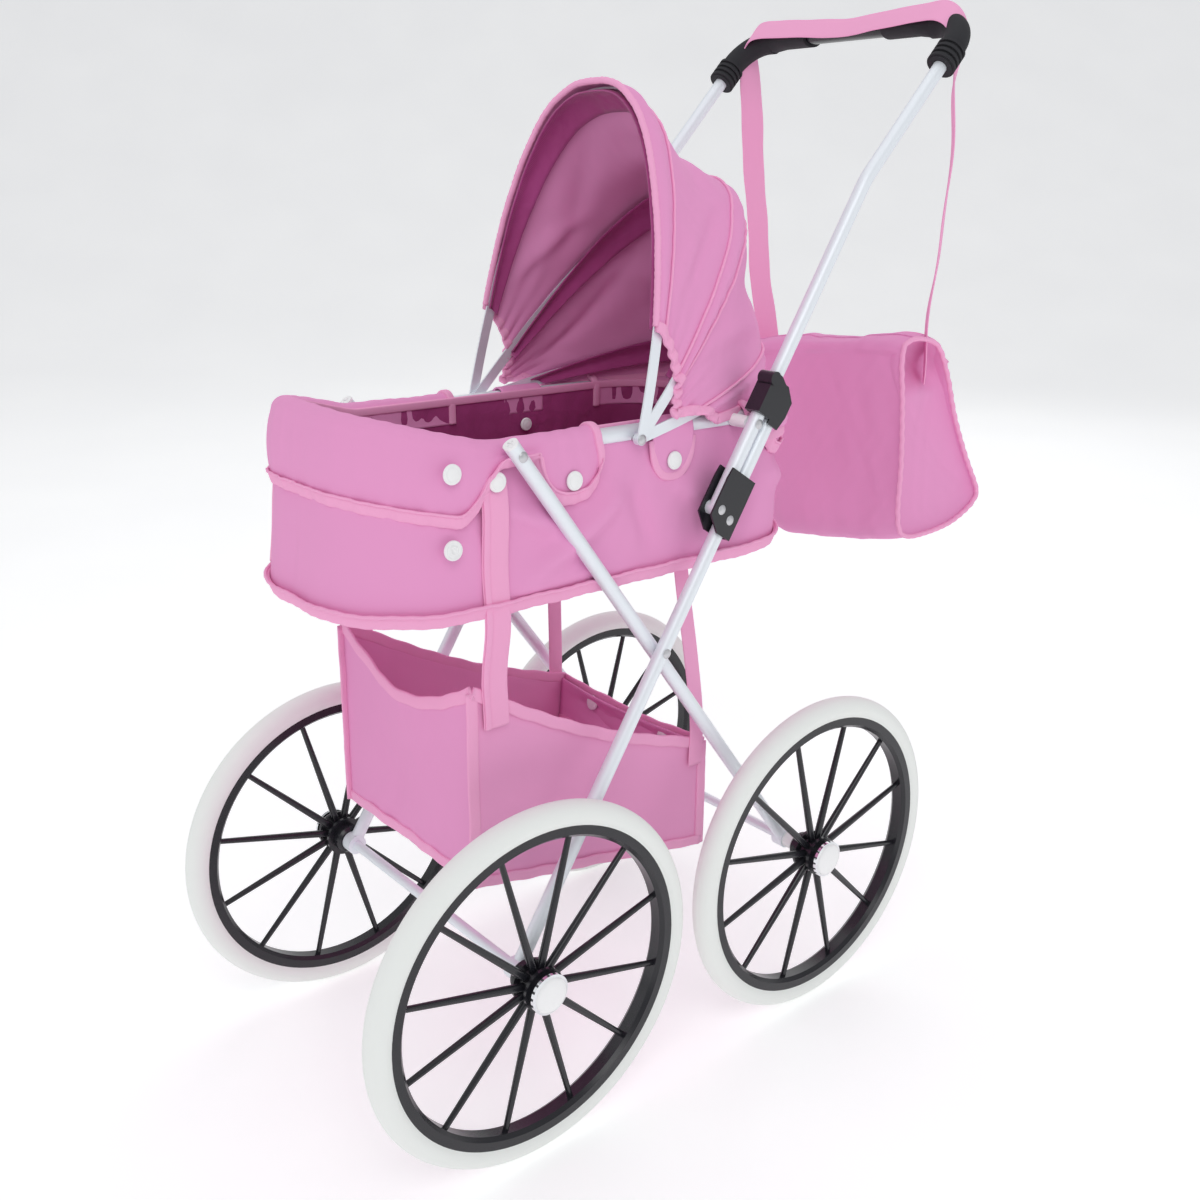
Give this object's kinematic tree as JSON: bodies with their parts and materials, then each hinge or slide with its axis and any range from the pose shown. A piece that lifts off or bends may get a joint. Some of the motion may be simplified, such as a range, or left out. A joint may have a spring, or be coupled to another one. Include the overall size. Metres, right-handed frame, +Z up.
{
  "type": "doll stroller",
  "caption": "Folding doll pram with crossed tube legs, spoked wheels, soft bassinet with hood, under basket and a bag on the handle.",
  "frame": {"origin": "on the floor, under the middle of the bounding box", "axes": "+Z up, -Y is the front, +X is the stroller's left"},
  "size_m": [0.313, 0.6766, 0.7842],
  "materials": {
    "white_paint": "gloss powder coat",
    "steel": "zinc plated",
    "black_plastic": "glossy black",
    "white_plastic": "moulded",
    "black_rubber": "matt",
    "pink_nylon": "woven nylon with sheen",
    "board": "fibreboard",
    "pink_mesh": "nylon with net side panels",
    "pink_webbing": "woven webbing",
    "white_tyre": "satin white foam rubber",
    "black_rim": "glossy black",
    "white_cap": "glossy white",
    "chrome": "bright"
  },
  "bodies": {
    "leg_frame": {"outer_leg_left": "white_paint", "outer_leg_right": "white_paint", "front_axle": "white_paint", "front_lock_washers": "steel", "crossing_rivets": "steel", "fold_bracket_left": "black_plastic", "fold_bracket_right": "black_plastic", "bracket_rivets": "steel"},
    "inner_frame": {"inner_leg_left": "white_paint", "inner_leg_right": "white_paint", "rear_axle": "white_paint", "rear_lock_washers": "steel", "leg_plugs": "white_plastic", "leg_top_rivets": "steel", "rear_axle_bushes": "white_plastic"},
    "handle": {"handle_tube_left": "white_paint", "handle_tube_right": "white_paint", "corner_grip_left": "black_rubber", "corner_grip_right": "black_rubber", "handle_bar": "black_plastic", "rail_pivot_rivets": "steel", "rail_spacers": "white_plastic"},
    "latch_slide_left": {"latch_left": "black_plastic"},
    "latch_slide_right": {"latch_right": "black_plastic"},
    "bassinet": {"bassinet_rail": "white_paint", "bassinet_body": "pink_nylon", "base_board": "board", "bassinet_cuff": "pink_nylon", "snap_caps": "white_plastic", "canopy_pivots": "steel", "canopy_rear_bow": "white_paint", "canopy_fabric": "pink_nylon", "basket": "pink_mesh", "basket_straps": "pink_webbing"},
    "canopy_middle": {"canopy_middle_bow": "white_paint"},
    "canopy_front": {"canopy_front_bow": "white_paint"},
    "bag": {"bag_body": "pink_nylon", "bag_strap": "pink_webbing"},
    "wheel_front_left": {"wheel_front_left_tyre": "white_tyre", "wheel_front_left_rim": "black_rim", "wheel_front_left_hub_cap": "white_cap", "wheel_front_left_cap_ring": "chrome"},
    "wheel_front_right": {"wheel_front_right_tyre": "white_tyre", "wheel_front_right_rim": "black_rim", "wheel_front_right_hub_cap": "white_cap", "wheel_front_right_cap_ring": "chrome"},
    "wheel_rear_left": {"wheel_rear_left_tyre": "white_tyre", "wheel_rear_left_rim": "black_rim", "wheel_rear_left_hub_cap": "white_cap", "wheel_rear_left_cap_ring": "chrome"},
    "wheel_rear_right": {"wheel_rear_right_tyre": "white_tyre", "wheel_rear_right_rim": "black_rim", "wheel_rear_right_hub_cap": "white_cap", "wheel_rear_right_cap_ring": "chrome"}
  },
  "joints": [
    {"name": "fold", "type": "hinge", "parent": "leg_frame", "child": "handle", "pos_m": [0, -0.02547, 0.437], "axis": [1, 0, 0], "range_deg": [0, 80]},
    {"name": "crossing", "type": "hinge", "parent": "leg_frame", "child": "inner_frame", "pos_m": [0, -0.07345, 0.33935], "axis": [1, 0, 0], "range_deg": [0, 35]},
    {"name": "rail_pivot", "type": "hinge", "parent": "handle", "child": "bassinet", "pos_m": [0, 0.01053, 0.4935], "axis": [1, 0, 0], "range_deg": [-54.6, 0]},
    {"name": "latch_left_slide", "type": "slide", "parent": "handle", "child": "latch_slide_left", "axis": [0, 0.5373, 0.8434], "range_m": [0, 0.025]},
    {"name": "latch_right_slide", "type": "slide", "parent": "handle", "child": "latch_slide_right", "axis": [0, 0.5373, 0.8434], "range_m": [0, 0.025]},
    {"name": "canopy_fold", "type": "hinge", "parent": "bassinet", "child": "canopy_front", "pos_m": [0, -0.08477, 0.491], "axis": [1, 0, 0], "range_deg": [-60, 0], "deforming": ["canopy_fabric"]},
    {"name": "canopy_middle_turn", "type": "hinge", "parent": "bassinet", "child": "canopy_middle", "pos_m": [0, -0.08477, 0.491], "axis": [1, 0, 0], "range_deg": [-35, 0]},
    {"name": "bag_swing", "type": "hinge", "parent": "handle", "child": "bag", "pos_m": [0, 0.22497, 0.77222], "axis": [1, 0, 0], "range_deg": [0, 45]},
    {"name": "wheel_front_left_spin", "type": "hinge", "parent": "leg_frame", "child": "wheel_front_left", "pos_m": [0, -0.20427, 0.134], "axis": [1, 0, 0], "continuous": true},
    {"name": "wheel_front_right_spin", "type": "hinge", "parent": "leg_frame", "child": "wheel_front_right", "pos_m": [0, -0.20427, 0.134], "axis": [1, 0, 0], "continuous": true},
    {"name": "wheel_rear_left_spin", "type": "hinge", "parent": "inner_frame", "child": "wheel_rear_left", "pos_m": [0, 0.08073, 0.134], "axis": [1, 0, 0], "continuous": true},
    {"name": "wheel_rear_right_spin", "type": "hinge", "parent": "inner_frame", "child": "wheel_rear_right", "pos_m": [0, 0.08073, 0.134], "axis": [1, 0, 0], "continuous": true}
  ],
  "couplings": [
    {"joint": "crossing", "follows": "fold", "ratio": 0.425},
    {"joint": "rail_pivot", "follows": "fold", "ratio": -0.67},
    {"joint": "canopy_middle_turn", "follows": "canopy_fold", "ratio": 0.55}
  ]
}
